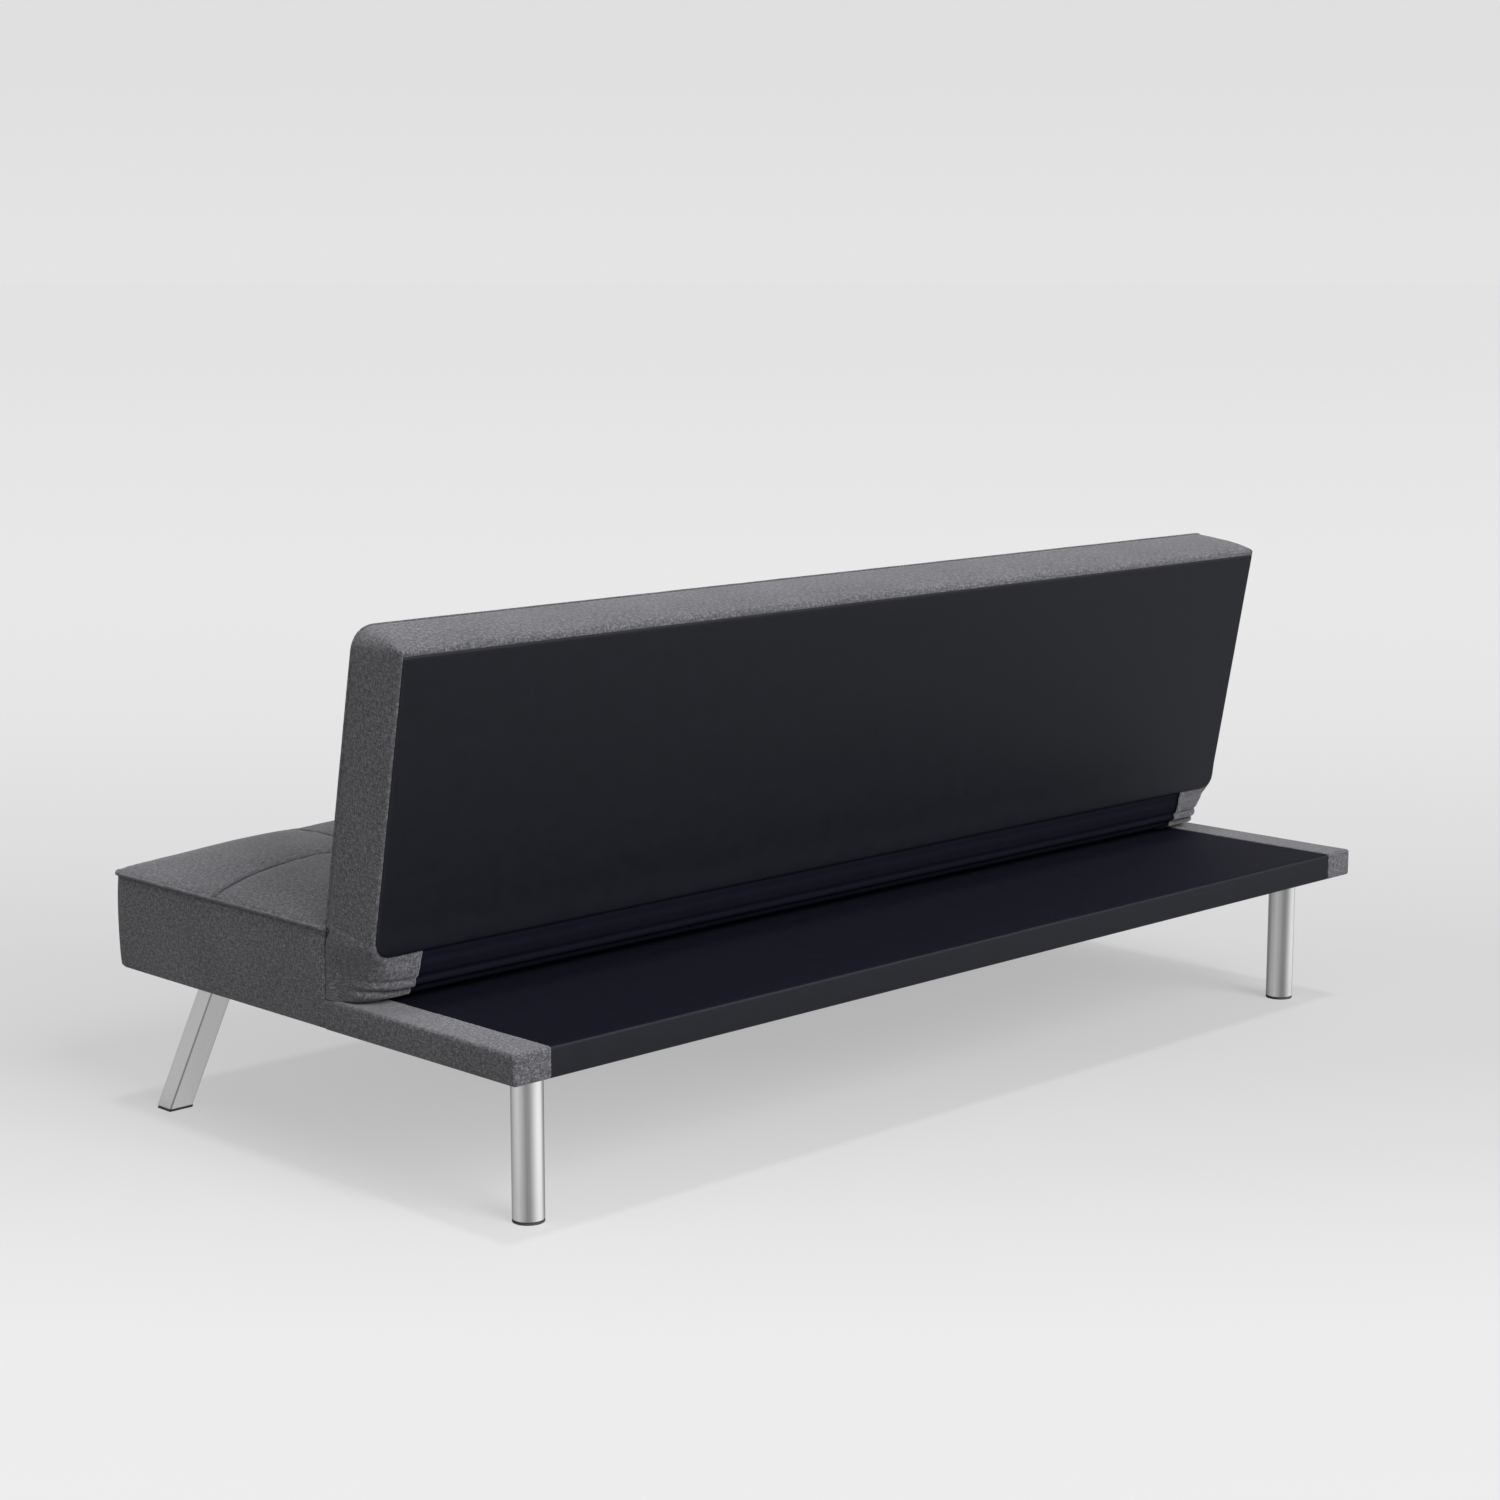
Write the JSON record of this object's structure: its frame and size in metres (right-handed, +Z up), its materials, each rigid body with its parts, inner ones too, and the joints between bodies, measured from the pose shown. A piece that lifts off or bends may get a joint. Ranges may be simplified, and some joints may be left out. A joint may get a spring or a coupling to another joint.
{
  "type": "futon sofa bed",
  "caption": "Armless click-clack sofa bed: upholstered seat box on a thin rear deck, a backrest on ratchet hinges that folds flat onto the deck, and metal legs.",
  "frame": {"origin": "on the floor, under the middle of the sofa's bounding box in the sofa position", "axes": "+X along the length towards the sitter's left, +Y from the front edge of the seat to the rear edge of the deck, +Z up"},
  "size_m": [1.68, 0.832, 0.7021],
  "materials": {
    "grey_fabric": "matte",
    "black_lining": "matte",
    "satin_chrome": "satin",
    "zinc_steel": "satin",
    "pine": "matte",
    "plywood": "matte",
    "foam": "matte",
    "felt": "matte",
    "webbing": "matte",
    "black_rubber": "matte"
  },
  "bodies": {
    "base": {"base_front_rail": "pine", "base_rear_rail": "pine", "base_side_rail_left": "pine", "base_side_rail_right": "pine", "base_stretcher_left": "pine", "base_stretcher_right": "pine", "corner_block_front_left": "pine", "corner_block_front_right": "pine", "corner_block_rear_left": "pine", "corner_block_rear_right": "pine", "seat_riser_front": "pine", "seat_riser_rear": "pine", "seat_riser_left": "pine", "seat_riser_right": "pine", "deck_board": "plywood", "deck_cover": "black_lining", "bottom_lining": "black_lining", "deck_end_wrap_left": "grey_fabric", "deck_end_wrap_right": "grey_fabric", "seat_cover": "grey_fabric", "seat_piping": "grey_fabric", "seat_webbing": "webbing", "felt_pad": "felt", "seat_foam": "foam", "rear_leg_left": "satin_chrome", "rear_leg_right": "satin_chrome", "front_leg_left": "satin_chrome", "front_leg_right": "satin_chrome", "rear_foot_pad_left": "black_rubber", "rear_foot_pad_right": "black_rubber", "front_foot_pad_left": "black_rubber", "front_foot_pad_right": "black_rubber", "leg_bolt_front_left": "zinc_steel", "leg_bolt_front_right": "zinc_steel", "leg_bolt_rear_left": "zinc_steel", "leg_bolt_rear_right": "zinc_steel", "hinge_bracket_left": "zinc_steel", "hinge_bracket_right": "zinc_steel", "hinge_pin_left": "zinc_steel", "hinge_pin_right": "zinc_steel", "pawl_pin_left": "zinc_steel", "pawl_pin_right": "zinc_steel"},
    "backrest": {"hinge_arm_left": "zinc_steel", "hinge_arm_right": "zinc_steel", "ratchet_disc_left": "zinc_steel", "ratchet_disc_right": "zinc_steel", "back_bottom_rail": "pine", "back_top_rail": "pine", "back_stile_left": "pine", "back_stile_right": "pine", "back_mid_stile": "pine", "back_webbing": "webbing", "back_foam": "foam", "back_cover": "grey_fabric", "back_panel": "black_lining", "back_piping": "grey_fabric", "hinge_boot": "black_lining"},
    "pawl_left": {"pawl_left": "zinc_steel"},
    "pawl_right": {"pawl_right": "zinc_steel"}
  },
  "joints": [
    {"name": "backrest_recline", "type": "hinge", "parent": "base", "child": "backrest", "pos_m": [0, 0.102, 0.284], "axis": [-1, 0, 0], "range_deg": [-7, 79.5]},
    {"name": "pawl_left_engage", "type": "hinge", "parent": "base", "child": "pawl_left", "pos_m": [0.80025, 0.076, 0.2555], "axis": [1, 0, 0], "range_deg": [0, 4.5]},
    {"name": "pawl_right_engage", "type": "hinge", "parent": "base", "child": "pawl_right", "pos_m": [-0.80025, 0.076, 0.2555], "axis": [1, 0, 0], "range_deg": [0, 4.5]}
  ]
}
